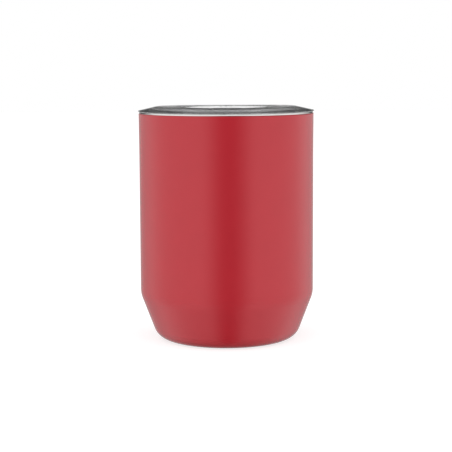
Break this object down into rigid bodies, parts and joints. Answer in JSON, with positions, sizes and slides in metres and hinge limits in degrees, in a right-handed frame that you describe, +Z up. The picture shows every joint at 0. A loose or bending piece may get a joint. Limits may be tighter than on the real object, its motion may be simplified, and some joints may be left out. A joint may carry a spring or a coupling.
{
  "type": "insulated cup",
  "caption": "Straight double-walled steel cup with a chamfered foot, satin red coat, bare steel lip and a clear push-on lid with a turning sip closure.",
  "frame": {"origin": "centre of the standing ring, on the plane the cup rests on", "axes": "+Z up along the cup's axis; -Y is the drinking side and faces the picture's camera; +X is to the camera's right"},
  "size_m": [0.0844, 0.0844, 0.1125],
  "materials": {
    "red_coat": "satin powder coat",
    "liner_steel": "fine brushed, polished lip",
    "base_steel": "pressed sheet, satin",
    "seal_glass": "fused sealing glass",
    "getter_metal": "sintered, dull",
    "clear_plastic": "clear, polished",
    "silicone": "translucent silicone",
    "closure_plastic": "clear, polished"
  },
  "bodies": {
    "cup": {"outer_shell": "red_coat", "inner_liner": "liner_steel", "vacuum_base": "base_steel", "glass_seal": "seal_glass", "getter_cup": "base_steel", "getter": "getter_metal", "base_cover": "base_steel"},
    "lid": {"lid_body": "clear_plastic", "lid_gasket": "silicone"},
    "closure": {"lid_closure": "closure_plastic"}
  },
  "joints": [
    {"name": "lid_lift", "type": "slide", "parent": "cup", "child": "lid", "axis": [0, 0, 1], "range_m": [0, 0.08]},
    {"name": "closure_turn", "type": "hinge", "parent": "lid", "child": "closure", "pos_m": [0, 0, 0.1099], "axis": [0, 0, 1], "range_deg": [0, 60]}
  ]
}
